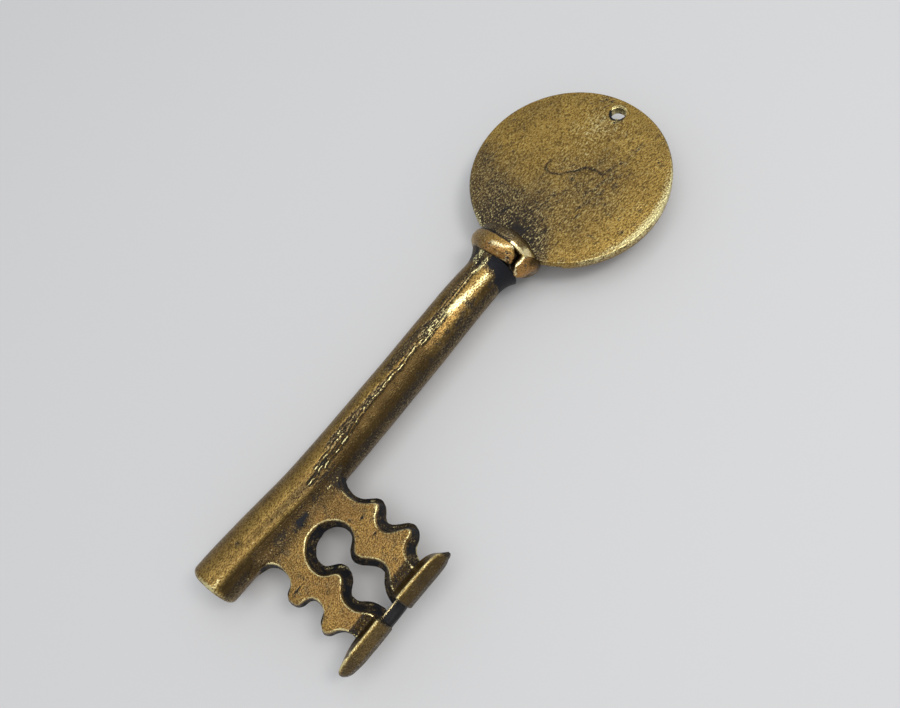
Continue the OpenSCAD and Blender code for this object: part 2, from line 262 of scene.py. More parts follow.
def shank_profile():
    """Half outline of the shank from pole to pole as (x, r): dished end face, rounded edge, bar, flare along
    a circle, rounded lip, shoulder face and spigot."""
    end = np.linspace(0.05, 0.96, 20)
    round_a = np.linspace(0, math.pi / 2, 12)[1:]
    lip_a = np.linspace(0, math.pi / 2, 6)[1:]
    flare_start = shoulder_x - flare_reach
    bar_x = np.concatenate([np.linspace(tip_round + 0.35, flare_start, 482),
                            np.linspace(flare_start, shoulder_x - lip_r, 30)[1:]])
    rise = np.clip(bar_x - flare_start, 0, flare_r)
    bar = bar_at(bar_x)[1]
    flare = np.minimum(flare_r - np.sqrt(flare_r ** 2 - rise ** 2), shoulder_r - bar)
    x = [tip_start + 0.1 - 0.12 * end ** 2, tip_start + tip_round * (1 - np.cos(round_a)), bar_x,
         shoulder_x - lip_r + lip_r * np.sin(lip_a), np.full(8, shoulder_x),
         np.linspace(shoulder_x + 0.05, spigot_end - 0.3, 16), np.full(3, spigot_end - 0.3)]
    r = [(tip_r - tip_round) * end, tip_r - tip_round + tip_round * np.sin(round_a), bar + flare,
         shoulder_r - lip_r + lip_r * np.cos(lip_a), np.linspace(shoulder_r - 0.5, spigot_r, 8),
         np.full(16, spigot_r), [3, 2, 0.4]]
    return np.concatenate(x), np.concatenate(r)


shank_cols = 168
seen_angle = math.radians(112)
crowding = 0.45
profile_x, profile_r = shank_profile()
even = np.linspace(0, 2 * math.pi, shank_cols, endpoint=False)
x, angle = np.meshgrid(profile_x, even - crowding * np.sin(even - seen_angle), indexing="ij")
straight = turned(x, bar_r, angle)
side, bar = bar_at(x)

# Degrees round it are counted from the line of the mould, which stays straight where the tip is bent.
tip_bend = 1.55
straight_side = side - tip_bend * fade(4.5, 29, x)
degrees = np.degrees(np.arctan2(bar * np.sin(angle), straight_side + bar * np.cos(angle))) % 360
on_bar = ease(0.3, 2, x) * fade(83, 84.6, x)

# The seam of the mould wanders round the upper side as a few broken crests, each a list of (place along the
# shank, degrees round it), with a ragged trough beside each and pits between them.
seam_crests = [
    [(26.5, 118), (29.3, 116), (31.5, 110), (33, 113)],
    [(31, 119), (33.5, 117), (36, 116), (38.5, 112), (40, 107), (42.5, 103), (45, 100), (47, 102), (50, 99),
     (52, 99), (54, 98), (55, 102), (58, 100), (61, 98), (64, 97), (67, 95), (70, 92)],
    [(29.5, 106), (32, 104), (34, 105), (35.5, 100), (38, 99), (40, 101)],
    [(37, 91), (39.5, 88), (42, 91)],
    [(61, 104.5), (64, 104), (67, 102.5), (69.5, 104)],
    [(62.5, 92), (65, 93.5), (67, 90), (70, 88), (73, 89), (77, 85), (81, 82)],
]
crest, trough = np.zeros_like(x), np.zeros_like(x)
wander = 2.4 * ripples(straight * [1, 0, 0], 2.6, 11) + 1.8 * lumps(straight, 0.8, 16)
dash = ease(-0.32, 0.25, ripples(straight * [1, 0.7, 0.7], 1, 21))
for points in seam_crests:
    along, round_bar = np.array(points).T
    off_crest = np.radians(degrees - np.interp(x, along, round_bar) - wander) * bar_r
    there = ease(along[0] - 0.6, along[0] + 0.6, x) * fade(along[-1] - 0.6, along[-1] + 0.6, x)
    crest = most(crest, bell(off_crest, 0, 0.15) * there * dash)
    trough = most(trough, (bell(off_crest, 0.36, 0.2) + bell(off_crest, -0.36, 0.2)) * there)
patch = dabs(x, degrees, [(39.5, 92, 6, 12), (47, 95, 6, 9), (59, 77, 8, 15), (66, 88, 6, 10),
                          (77, 74, 8, 12), (31, 112, 3, 8), (83, 78, 2.5, 12)])
cracks = bell(ripples(straight * [0.45, 1, 1], 1.3, 31), 0.05, 0.14)
pits = most(ease(0.05, 0.5, ripples(straight * [0.5, 1, 1], 1, 36)), 0.8 * cracks)
pits = pits * ease(0.18, 0.6, patch) * on_bar

# Dents: place along the key, degrees round it, radius and depth.
dent = np.zeros_like(x)
for dent_x, dent_angle, dent_r, depth in ((10, 93, 0.75, 0.22), (3, 82, 0.4, 0.12), (2.2, 105, 0.35, 0.12),
                                          (17.2, 111, 0.3, 0.1), (30.5, 79, 0.35, 0.08)):
    away = np.hypot(x - dent_x, np.radians(degrees - dent_angle) * bar_r)
    dent += depth * (bell(away, 0, dent_r) - 0.3 * bell(away, dent_r * 1.6, dent_r * 0.5))
facet = (0.12 * bell(degrees, 122, 9) - 0.14 * bell(degrees, 141, 12)) * fade(16, 30, x)
hand_made = 0.06 * ripples(straight, 9, 41) + 0.02 * ripples(straight, 1.6, 51)

# Solder has run into the notch of the collar and fills its bottom.
solder = 2.7 * ease(shoulder_x, 85.7, x) * fade(87.6, 88.4, x) * bell(degrees, 131, 14)
radius = (profile_r[:, None] + on_bar * (facet + hand_made - dent) + 0.12 * crest - 0.14 * trough
          - 0.2 * pits + solder)
shank_rings = turned(x, radius, angle, side)
shank_rings[..., 0] += 0.12 * ripples(shank_rings, 3, 61) * fade(0, 1.5, x)

# Painted shade, as darker reflections in the patina, browns the flank below the ridge of the tip and on to
# the neck, a band along the middle, the upper edge and the top of the tip. Black soot fills the pits, and the
# lower side and the hollow under the collar are painted dark, as painted shade with soot in it. The end face
# has one even tone.
past_shoulder = ease(shoulder_x, 85.3, x)
off_end = ease(0.3, 1.1, x)
brown_side = most(0.9 * ease(119, 137, degrees) * ease(0.6, 2, x) * fade(56, 68, x),
                  ease(98, 110, degrees) * (0.9 + 0.3 * ripples(straight, 4, 66)) * ease(22, 34, x)
                  * fade(58, 70, x),
                  ease(122, 136, degrees) * (0.68 + 0.408 * ripples(straight, 3, 69)) * ease(60, 68, x))
smoke_and_shade = most(brown_side * (1 - 0.6 * ease(150, 172, degrees)), 0.5 * fade(60, 94, degrees),
             0.24 * fade(98, 110, degrees) * fade(14, 20, x),
             (0.45 + 0.2 * ease(9, 14, x)) * bell(degrees, 108 + 0.2 * x, 12) * fade(26, 30, x),
             0.9 * past_shoulder)
# Painted shade on the lower side, speckled black; near its far edge it is left lighter, as a painted
# reflection of the floor.
under = ease(134, 158, degrees) * fade(215, 262, degrees) * (0.76 + 0.22 * ripples(straight, 5, 71))
under = under * (0.84 + 0.16 * ease(8, 20, x)) * (1 - 0.4 * ease(164, 180, degrees))
blots = most(0.82 * ease(54, 64, x) * bell(degrees, 139, 13) * ease(-0.05, 0.22, ripples(straight, 2, 76)),
             0.84 * dabs(x, degrees, [(31, 146, 1.6, 14), (30.5, 131, 3.5, 7), (56.8, 145, 1.2, 9),
                                      (60.5, 150, 1.5, 10), (16, 157, 2.4, 9), (20.8, 160, 2.6, 10),
                                      (70, 142, 2.5, 10), (50.5, 160, 3, 9), (74, 128, 0.8, 12),
                                      (77, 158, 4, 12), (4.5, 155, 3.5, 7), (35, 158, 3.5, 9),
                                      (64, 158, 4, 9)]))
# Painted shade with soot in it: the hollow under the collar's front is painted near black.
past_neck = (x - 82.2 - 0.6 * ripples(straight, 2, 81) - 0.5 * ripples(straight, 0.5, 86)
             + 1.4 * ease(120, 150, degrees))
neck_hollow = most(ease(-0.25, 0.35, past_neck) * ease(88, 106, degrees) * fade(225, 250, degrees),
                   ease(-1.8, 0.5, past_neck) * (0.64 + 0.3 * ripples(straight, 1.2, 88)))
soot_and_shade = most(np.minimum(most(under, 0.92 * blots), 0.84), 1.2 * neck_hollow, 0.92 * pits,
            0.78 * trough * (1 - crest), 2.4 * dent, 0.5 * ease(0.2, 0.7, patch), 0.24 * smoke_and_shade)
soot_and_shade = soot_and_shade + 0.08 * ease(0, 0.7, ripples(straight, 4, 91)) * (soot_and_shade < 0.7)
# Painted shade: a darker band along the top between the tip's ridge and the seam.
soot_and_shade = soot_and_shade + 0.2 * bell(degrees, 112, 13) * ease(14, 20, x) * fade(27, 31, x)
soot_and_shade = 0.22 + (soot_and_shade * (1 - 0.5 * past_shoulder) - 0.22) * off_end
smoke_and_shade = 0.4 + (smoke_and_shade - 0.4) * off_end
# Painted highlights in the rub mark: a brighter arc on the upper side of the end's rim, the long gleam along
# the top near the neck, and the line of light on the tip's ridge. The seam's crests and the rest of the end's
# rim are rubbed bright as wear.
end_rim = bell(profile_x[:, None], 0.8, 0.5) * ease(3.9, 4.5, radius)
painted_gleam = bell(degrees, 97 + 1.5 * np.clip(x - 66, 0, 16), 13) * ease(60, 67, x) * fade(81, 82.5, x)
ridge = bell(degrees, 119, 6) * ease(0.4, 1.2, x) * fade(12, 20, x)
polish_and_highlights = most(0.74 * crest, (0.3 + 0.5 * bell(degrees, 108, 25)) * end_rim,
                (0.71 + 0.12 * bell(x, 70, 5)) * painted_gleam
                * (0.78 + 0.4 * ripples(straight * [0.5, 1, 1], 2.4, 96)),
                (0.24 + 0.3 * fade(1, 5, x)) * ridge)
neck_streaks = ease(0.02, 0.3, ripples(straight * [0.3, 1, 1], 0.8, 98)) * ease(78, 81, x)
rub_and_highlight = most(polish_and_highlights * (1 - neck_hollow), 0.74 * neck_streaks * fade(94, 104, degrees),
           0.68 * ease(80.5, 82, x) * bell(degrees, 84, 14) * ease(0, 0.4, ripples(straight, 0.8, 99)))
copper = (0.35 * bell(degrees, 119, 13) * ease(55, 62, x) * fade(79, 82, x)
          + 0.25 * bell(degrees, 105, 15) * bell(x, 1.2, 1.2))
shank_metal = aged_brass("antique_brass_bar", (0.41, 0.265, 0.073), (0.29, 0.179, 0.053), (0.86, 0.76, 0.38),
                         painted_glints=0.15, bare=0.12, stretch=(0.7, 1, 1))
skin("shank", [(shank_rings, (soot_and_shade, smoke_and_shade, rub_and_highlight, copper), False)], shank_metal)

# Bit. A flat plate cast in a two-part mould, so its walls slope out from the face to a parting line half way
# down, and the lower half of the mould was a little out of place. Two teeth a side, a pierced keyhole that
# is open at its foot, and soft fillets where its root is brazed to the shank.
plate_half = 2.3
edge_r = 0.42
bevel_start = -26
foot_half = 1.7
fillet_r = 3.6
parting_ridge = 0.12
mould_slip = (0.35, 0.75)
fin_start = 10.5
fin_end = 5

# From the tip side's foot up, round the root and down to the bow side's foot: a point of the outer edge and
# the point of the keyhole's across from it, each as its place along the key and its distance below the
# shank's axis, and then how far each wall slopes out to the parting line.
bit_edges = np.array([
    (12.1, 28.8, 17.2, 28.8, 0.2, 1.6), (12.05, 27, 16.9, 26.9, 0.2, 1.5), (11.8, 25.6, 16.2, 25.7, 0.1, 1.4),
    (11.1, 24.5, 15.6, 24.8, 0.1, 1.3), (10.1, 23.7, 15.25, 23.7, 0.1, 1.2),
    (9.2, 23.1, 15.2, 22.6, 0.2, 1.2), (8.85, 22.2, 15.35, 21.5, 0.4, 1.2), (9.3, 21.3, 15.9, 20.5, 0.5, 1.2),
    (10.4, 20.7, 16.8, 19.6, 0.5, 1.3), (11.5, 19.9, 17.8, 18.8, 0.4, 1.4),
    (12.1, 18.6, 18.25, 17.9, 0.4, 1.45), (12.1, 17.4, 18.1, 17.2, 0.3, 1.4),
    (11.6, 16.3, 17.4, 16.5, 0.1, 1.3), (10.6, 15.7, 16.6, 15.9, 0.1, 1.3),
    (9.5, 15.4, 15.95, 15.1, 0.1, 1.3), (8.85, 14.8, 15.65, 14.2, 0.2, 1.3),
    (8.65, 13.7, 15.55, 13.2, 0.4, 1.3), (8.9, 12.6, 15.7, 12.1, 0.5, 1.3), (9.9, 12.15, 16.05, 11, 0.5, 1.3),
    (11, 11.4, 16.6, 10.1, 0.5, 1.3), (11.6, 10.2, 17.4, 9.2, 0.4, 1.35), (11.85, 8.7, 18.3, 8.5, 0.3, 1.4),
    (11.8, 7.4, 19, 8.15, 0.3, 1.4), (11.3, 6.1, 19.5, 8, 0.3, 1.4), (10.4, 5.1, 19.8, 7.95, 0.3, 1.4),
    (9, 4.4, 20, 7.9, 0.3, 1.4), (7.2, 3.9, 20.1, 7.9, 0.2, 1.4), (5.4, 3.4, 20.2, 7.9, 0.1, 1.4),
    (5.2, 2.2, 20.25, 7.9, 0, 1.4), (8, 1.7, 20.3, 7.9, 0, 1.4), (12.5, 1.5, 20.4, 7.9, 0, 1.4),
    (17.5, 1.4, 20.5, 7.9, 0, 1.4), (22.5, 1.4, 20.65, 7.9, 0, 1.4), (27.5, 1.5, 20.8, 7.9, 0, 1.4),
    (32, 1.8, 21, 7.9, 0, 1.35), (35.2, 2.8, 21.3, 7.95, 0, 1.3), (34.2, 4, 21.7, 8, 0.1, 1.2),
    (32.4, 4.6, 22.2, 8.15, 0.4, 1.1), (31.1, 5.5, 22.8, 8.4, 0.6, 1), (30.3, 6.8, 23.5, 8.8, 0.6, 0.9),
    (30, 8.3, 24.3, 9.5, 0.5, 0.8), (30, 9.9, 25.1, 10.5, 0.4, 0.75), (30.4, 11.5, 25.6, 11.7, 0.4, 0.7),
    (31.3, 12.9, 25.75, 12.9, 0.5, 0.7), (32.2, 13.9, 25.6, 14, 0.5, 0.7), (32.4, 14.8, 25.1, 15, 0.7, 0.75),
    (31.6, 15.4, 24.4, 15.8, 1.1, 0.85), (30.5, 15.9, 23.6, 16.5, 1.4, 1), (29.6, 16.8, 23, 17.1, 1.5, 1.2),
    (29.1, 18, 22.75, 17.8, 1.5, 1.25), (29.3, 19.2, 22.9, 18.6, 1.4, 1.1), (30.2, 20.4, 23.4, 19.5, 1.1, 1),
    (31.4, 21.3, 24, 20.4, 0.8, 1), (32.5, 22.2, 24.5, 21.3, 0.7, 1), (32.7, 23.1, 24.85, 22.3, 0.9, 1),
    (31.6, 23.6, 24.9, 23.3, 1.4, 1), (30.2, 23.8, 24.7, 24.2, 1.7, 1), (29.1, 24.5, 24.2, 25, 1.8, 1.1),
    (28.4, 25.7, 23.4, 25.9, 1.6, 1.3), (28.1, 27.1, 22.6, 26.8, 1.3, 1.4), (27.9, 28.8, 22, 28.8, 1.1, 1.5)])


def curve_through(points, count):
    """Smooth curve through rows of points. Its parameter is the length of the chords so far, and between two
    points it is a cubic whose slope at each is the slope of the chord between that point's neighbours."""
    knots = np.append(0, np.cumsum(np.linalg.norm(np.diff(points, axis=0), axis=1)))
    slopes = np.gradient(points, knots, axis=0)
    at = np.linspace(0, knots[-1], count)
    i = np.clip(np.searchsorted(knots, at, side="right") - 1, 0, len(knots) - 2)
    gap = (knots[i + 1] - knots[i])[:, None]
    t = (at - knots[i])[:, None] / gap
    return ((2 * t ** 3 - 3 * t ** 2 + 1) * points[i] + (t ** 3 - 2 * t ** 2 + t) * gap * slopes[i]
            + (3 * t ** 2 - 2 * t ** 3) * points[i + 1] + (t ** 3 - t ** 2) * gap * slopes[i + 1])


def soften(values, passes):
    """Running average over neighbours along the rows, repeated, with the two ends kept."""
    for _ in range(passes):
        values = np.concatenate([values[:1], (values[:-2] + 2 * values[1:-1] + values[2:]) / 4, values[-1:]])
    return values


def away_from(line, other):
    """Unit vectors square to a plane curve, on the side that faces away from another curve."""
    tangent = np.gradient(line, axis=0)
    square = np.stack([tangent[:, 1], -tangent[:, 0]], axis=1)
    square *= np.sign((square * (line - other)).sum(axis=1, keepdims=True))
    square = soften(square, 14)
    return square / np.linalg.norm(square, axis=1, keepdims=True)


def wall_profile(count):
    """Half outline of a wall from one face's edge to the other's as (outset, share of the slope, height from
    -1 to 1): an arc of the edge's radius, then a line out to the parting line, and the same mirrored."""
    turn = np.linspace(90, 12, count // 3)
    arc_out = edge_r * (np.cos(np.radians(turn)) - 1)
    arc_z = 1 - edge_r * (1 - np.sin(np.radians(turn))) / plate_half
    line_z = np.linspace(arc_z[-1], 0, count - count // 3)[1:]
    out = np.concatenate([arc_out, np.zeros_like(line_z)])
    z = np.concatenate([arc_z, line_z])
    slope = np.clip((arc_z[-1] - z) / arc_z[-1], 0, 1)
    out = out + parting_ridge * bell(z, 0, 0.09)
    return tuple(np.concatenate([a, s * a[-2::-1]]) for a, s in ((out, 1), (slope, 1), (z, -1)))


def joined(runs, *parts):
    """One row over several runs of points, from a part for each: a row of its own, or one number for all."""
    return np.concatenate([part + 0 * run for part, run in zip(parts, runs)])


def half_thickness(x, y):
    """Half the thickness of the bit: flat, with a circular fillet up to the shank at its root, which ends
    just inside the bar, and a bevel down to the tongue at its foot."""
    side, bar = bar_at(x)
    below = side - y
    reach = np.sqrt((bar + fillet_r) ** 2 - (plate_half + fillet_r) ** 2)
    touch = reach * bar / (bar + fillet_r)
    past_arc = np.clip(reach - below, 0, None)
    arc = plate_half + fillet_r - np.sqrt(np.maximum(fillet_r ** 2 - past_arc ** 2, 0.01))
    inside = np.sqrt(np.maximum(bar ** 2 - below ** 2, 0.1)) - 0.35 * ease(0, 1.2, touch - below)
    half = np.where(below > touch, arc, inside)
    foot = fade(bevel_start - 1.6, bevel_start, y)
    fin = 1 - 0.6 * fade(fin_end, fin_start, x)
    return (half + (foot_half - plate_half) * foot) * fin


def bit_rings():
    """The bit's skin: for each step along both edges, a closed section over the face from the outer edge to
    the keyhole's, down the keyhole's wall, back over the hidden face and up the outer wall."""
    edges = soften(curve_through(bit_edges * [1, -1, 1, -1, 1, 1], 640), 6)
    outer, keyhole = edges[:, 0:2], edges[:, 2:4]
    out_n, in_n = away_from(outer, keyhole), away_from(keyhole, outer)
    out, slope, z = wall_profile(23)
    face = np.linspace(0, 1, 36)[1:-1]
    back = np.linspace(1, 0, 26)[1:-1]
    runs = (face, z, back, z)
    across = joined(runs, face, 1, back, 0)[None, :, None]
    out_set, out_slope = joined(runs, -edge_r, 0, -edge_r, out[::-1]), joined(runs, 0, 0, 0, slope[::-1])
    in_set, in_slope = joined(runs, -edge_r, out, -edge_r, 0), joined(runs, 0, slope, 0, 0)
    height = joined(runs, 1, z, -1, z[::-1])
    out_by = (out_set + edges[:, 4:5] * out_slope)[..., None] * out_n[:, None]
    in_by = (in_set + edges[:, 5:6] * in_slope)[..., None] * in_n[:, None]
    plan = (1 - across) * (outer[:, None] + out_by) + across * (keyhole[:, None] + in_by)
    plan = plan + fade(-0.06, 0.02, height)[None, :, None] * mould_slip
    z = height * half_thickness(plan[..., 0], plan[..., 1])
    wall = np.clip(out_slope + in_slope, 0, 1) * fade(0.9, 1, np.abs(height))
    edge = bell(np.abs(height), 0.96, 0.07) * (np.abs(height) < 1)
    return np.concatenate([plan, z[..., None]], axis=-1), wall + 0 * z, edge + 0 * z, height + 0 * z


rings, wall, edge, height = bit_rings()
x, y, z = np.moveaxis(rings, -1, 0)
flat = 1 - np.clip(wall * 4, 0, 1)
foot_band = fade(-26.2, -25.6, y) * flat
relief = (0.05 * ripples(rings, 5, 101) + 0.022 * ripples(rings, 1.3, 111)
          + 0.07 * wall * ripples(rings, 1.1, 121)
          - 0.05 * foot_band * (0.3 + ripples(rings * [1, 0.25, 1], 0.6, 131)))
cuts = dabs(x, y, [(11, -13.3, 1, 0.11), (10.9, -14.1, 0.1, 0.45), (9.9, -13.6, 0.1, 0.3),
                   (28.5, -14, 0.45, 0.2), (26.7, -12.4, 0.3, 0.2), (28, -18, 0.25, 0.25)]) * flat
burr = bell(x, 28.9, 0.6) * bell(y + 0.3 * (x - 29.2), -5, 0.3) * (z > 0)
rings = raised(rings, relief - 0.1 * cuts + 0.12 * burr)

# Soot fills the grooved foot, with three smears along the root. The walls are painted near black, as soot
# with painted shade, and the corner where the bow side meets the shank is painted shade.
ragged = 0.34 * ripples(rings, 0.8, 141)
root = (z > 0) * most(*[black * ease(0.08, 1.05, ragged + dabs(x, y, [place])) for black, place in (
    (0.86, (20.9, -5.1, 2.7, 1.2)), (0.7, (15.6, -3.9, 2.6, 1.2)), (0.66, (31.4, -4.2, 1.6, 1)))])
# Painted shade in the corner where the bow side meets the shank.
corner = ease(-8.5, -6, y) * ease(29, 30, x)
haze = 0.72 * ease(-8, -4.4, y) + 0.2 * ease(23.5, 25.5, x) * ease(-13.5, -9.5, y)
smoke_and_shade = most(haze, root, 0.95 * foot_band)
# The walls are painted near black: soot with painted shade.
soot_and_shade = most(1.05 * np.clip(wall * 6, 0, 1) * (0.84 + 0.35 * ripples(rings, 0.9, 151)), root, 0.9 * cuts,
            foot_band * (0.48 + 0.42 * ripples(rings * [1, 0.25, 1], 0.5, 161)), 0.4 * haze * flat,
            0.64 * corner)
soot_and_shade = soot_and_shade + (0.1 + 0.14 * ease(-0.2, 0.5, ripples(rings, 3, 171))
               + 0.22 * ease(0.15, 0.5, ripples(rings, 0.75, 176))) * flat
ridge_line = wall * bell(height, 0, 0.1) * (ease(0, 0.5, ripples(rings, 1.8, 181))
                                             + dabs(x, y, [(30.5, -24.7, 1.6, 1.6)]))
# The edges and the parting ridge are rubbed bright; the dab on the point of the bow side's tooth nearer the
# shank is a painted highlight.
rub_and_highlight = most(0.86 * edge * (0.72 + 0.5 * ripples(rings, 3, 191)) * (1 - 0.8 * root) * (1 - corner),
           0.75 * ridge_line, 0.55 * burr, 0.65 * dabs(x, y, [(31.7, -14.9, 0.6, 0.6)]) * (height > 0.5))
bit_metal = aged_brass("antique_brass_plate", (0.41, 0.243, 0.066), (0.31, 0.174, 0.053), (0.84, 0.72, 0.36),
                         bare=0.18)
skin("bit_plate", [(rings, (soot_and_shade, smoke_and_shade, rub_and_highlight, 0.12), False)], bit_metal)

# End rails. Two cast bars with a ridge on either face and a boat-shaped nose, grooved along the inner side
# and brazed on over the bit's tongue. Their crests are rubbed bright and their outer faces stay brown.

# Stations along each: place along the key, inner foot, its half height, ridge, ridge's half height, outer
# edge and its half height.
rail_stations = {
    "rail_tip_side": [
        (17.3, -27.6, 1.75, -29.5, 4.05, -31.1, 1.1), (14, -27.55, 1.75, -29.5, 4.05, -31.15, 1.1),
        (11, -27.6, 1.7, -29.45, 4, -31.1, 1.1), (9, -27.9, 1.5, -29.4, 3.85, -31, 1.1),
        (7.6, -28.2, 1.2, -29.4, 3.4, -30.8, 1.1), (6.6, -28.4, 1, -29.4, 2.8, -30.6, 1.1),
        (5.9, -28.6, 0.9, -29.4, 2.1, -30.25, 1), (5.4, -29, 0.6, -29.4, 1.2, -29.8, 0.7)],
    "rail_bow_side": [
        (21.85, -27.6, 1.75, -29.7, 4.05, -31.4, 1.2), (25.5, -27.6, 1.75, -29.8, 4.05, -31.5, 1.2),
        (29, -27.7, 1.65, -29.9, 4, -31.6, 1.1), (31, -28.1, 1.4, -30, 3.7, -31.6, 1.1),
        (32.2, -28.8, 1.1, -30.1, 3.1, -31.5, 1), (33, -29.6, 0.8, -30.4, 2, -31.3, 0.8),
        (33.7, -30.3, 0.7, -30.7, 1.3, -31.2, 0.6), (34.1, -30.6, 0.3, -30.8, 0.5, -31, 0.3)],
}


def soft_section(corners, per_side, passes):
    """Closed sections from their corners, each a pair of coordinates that may change along the piece. Every
    side is divided evenly, and a running average round the section, repeated, rounds the corners off."""
    corners = np.stack(np.broadcast_arrays(*sum(corners, ())), axis=-1).reshape(-1, len(corners), 2)
    share = np.arange(per_side)[None, None, :, None] / per_side
    section = corners[:, :, None] * (1 - share) + np.roll(corners, -1, axis=1)[:, :, None] * share
    section = section.reshape(len(corners), -1, 2)
    for _ in range(passes):
        section = (np.roll(section, 1, axis=1) + 2 * section + np.roll(section, -1, axis=1)) / 4
    return section


def carried(x, section):
    """Rings of (x, y, z) from sections of (y, z) and the place of each along the key."""
    return np.concatenate([np.broadcast_to(x[:, None, None], section.shape[:2] + (1,)), section], axis=-1)


def rail_rings(stations, count):
    """A rail's skin: sections across the rail, mirrored about its middle, carried from the square-cut end to
    the nose. Each section goes from the inner foot over the ridge to the outer edge and back below."""
    x, foot_y, foot_z, ridge_y, ridge_z, edge_y, edge_z = curve_through(np.array(stations), count).T
    flat = np.minimum(0.35, (foot_y - edge_y) / 6)
    upper = [(foot_y, foot_z), (foot_y * 0.75 + ridge_y * 0.25, foot_z * 0.8 + ridge_z * 0.2),
             (ridge_y + flat, ridge_z * 0.985), (ridge_y - flat * 0.6, ridge_z * 0.985),
             (ridge_y * 0.45 + edge_y * 0.55, ridge_z * 0.55 + edge_z * 0.45), (edge_y, edge_z)]
    lower = [(y, -z) for y, z in upper[::-1]]
    section = soft_section(upper + lower, 12, 7)
    middle = section.mean(axis=1, keepdims=True)
    inset = ease(0, 0.35, np.abs(x - x[0]))[:, None, None] ** 0.5
    return carried(x, middle + (section - middle) * (0.86 + 0.14 * inset))


rail_metal = aged_brass("rubbed_brass_rails", (0.40, 0.262, 0.074), (0.28, 0.185, 0.058), (0.84, 0.70, 0.34),
                        painted_glints=0.12)
for number, (node, stations) in enumerate(rail_stations.items()):
    rings = rail_rings(stations, 300)
    x, y, z = np.moveaxis(rings, -1, 0)
    seed = 200 + 50 * number
    relief = 0.05 * ripples(rings, 4, seed) + 0.02 * ripples(rings, 1.2, seed + 10)
    dent = dabs(x, y, [(9.2, -29.2, 0.45, 0.6)]) * (z > 0) * (number == 0)
    rings = raised(rings, relief - 0.3 * dent)
    along, ridge = np.array(sorted(stations))[:, [0, 3]].T
    off_ridge = y - np.interp(x, along, ridge)
    crest = bell(off_ridge, 0.2, 0.36) * ease(1.4, 2.6, np.abs(z))
    slope = ease(-0.1, 0.5, off_ridge) * ease(1.2, 2.4, np.abs(z))
    outer_face = fade(-0.5, 0, off_ridge)
    inner_foot = ease(-28.3, -27.75, y)
    nose = ease(32.6, 33.4, x)
    outer_brown, slope_brown = ((0.46, 0.74), (0.72, 0.6))[number]
    smoke_and_shade = most(outer_brown * outer_face, slope_brown * slope)
    soot_and_shade = most(0.38 * outer_face * (0.95 + 0.6 * ripples(rings, 3, seed + 20)), 0.6 * inner_foot,
                0.75 * bell(x, stations[0][0], 0.4), 0.5 * dent, 0.6 * fade(0.8, 2.2, np.abs(z)),
                0.08 * slope, 0.85 * nose)
    rub_and_highlight = 0.85 * (1 - nose) * crest * (0.85 + 0.4 * ripples(rings, 4, seed + 30)) * (1 - inner_foot)
    skin(node, [(rings, (soot_and_shade, smoke_and_shade, rub_and_highlight, 0.0), False)], rail_metal)

# Bridge. A thin dark bar between the two rails, lower than they are, which closes the keyhole's foot. It is
# let into both rails on small tenons and keeps its casting skin, apart from one bright upper edge.
bridge_x = np.linspace(16.6, 22.5, 120)
bridge_top = 0.45 + 0.25 * bell(bridge_x, 17.4, 0.8) + 0.25 * bell(bridge_x, 21.7, 0.8)
bridge_bottom = -1.9
bridge_corners = [(-28.5, bridge_top), (-30.3, bridge_top - 0.2), (-30.7, bridge_top - 1),
                  (-30.6, bridge_bottom), (-28.6, bridge_bottom)]
rings = carried(bridge_x, soft_section(bridge_corners, 18, 5))
rings = raised(rings, 0.1 * ripples(rings, 1.6, 301))
x, y, z = np.moveaxis(rings, -1, 0)
upper_edge = bell(y, -28.6, 0.28) * bell(z, 0.35, 0.4)
bridge_metal = aged_brass("dark_brass_bridge", (0.20, 0.14, 0.06), (0.10, 0.07, 0.04), (0.78, 0.64, 0.34))
bridge_marks = (0.95 - 0.9 * upper_edge, 0.3, upper_edge, 0)
skin("rail_bridge", [(rings, bridge_marks, False)], bridge_metal)

# Collar. A thick ring, split at one place, that is driven over the spigot against the shoulder. One end is
# a fat rounded knob and the other is cut off short, so that a notch opens between them towards the shank.
# The metal is redder than the rest, with pitted coppery faces. Its crest and the rims of the knob are rubbed
# bright and carry painted highlights, and the knob is browner on its rear part, as painted shade.
collar_bore = 4.3
short_end_slant = 18
knob_hollow = 2.4

# Stations round it: degrees from +Y over the seen face, front place, rear place and outer radius.
collar_stations = np.array([
    (139.6, 86.3, 87.7, 7.4), (140.2, 85.8, 88, 7.75), (141.8, 85.3, 88.3, 8), (144.5, 84.7, 88.6, 8.15),
    (148.5, 84.1, 88.9, 8.2), (152.5, 83.9, 89.3, 8.2), (157, 84, 89.6, 8.2), (163, 84.5, 90, 8.2),
    (170, 85.3, 90.3, 8.15), (178, 86.5, 90.6, 8), (188, 87.3, 90.6, 7.85), (200, 87.6, 90.5, 7.7),
    (225, 87, 90.2, 7.6), (250, 86.5, 90, 7.6), (270, 86, 89.7, 7.6), (290, 85.7, 89.4, 7.6),
    (320, 85.4, 89.2, 7.55), (345, 85.3, 88.8, 7.5), (360, 85.2, 88.6, 7.5), (380, 85.05, 88.5, 7.5),
    (405, 84.75, 88.35, 7.5), (430, 84.4, 88.3, 7.6), (450, 84.4, 88.3, 7.7), (465, 84.75, 88.35, 7.7),
    (474, 85.1, 88.35, 7.7), (478, 85.25, 88.3, 7.65), (480.6, 85.35, 88.25, 7.5), (481.6, 85.5, 88.05, 7.2)])


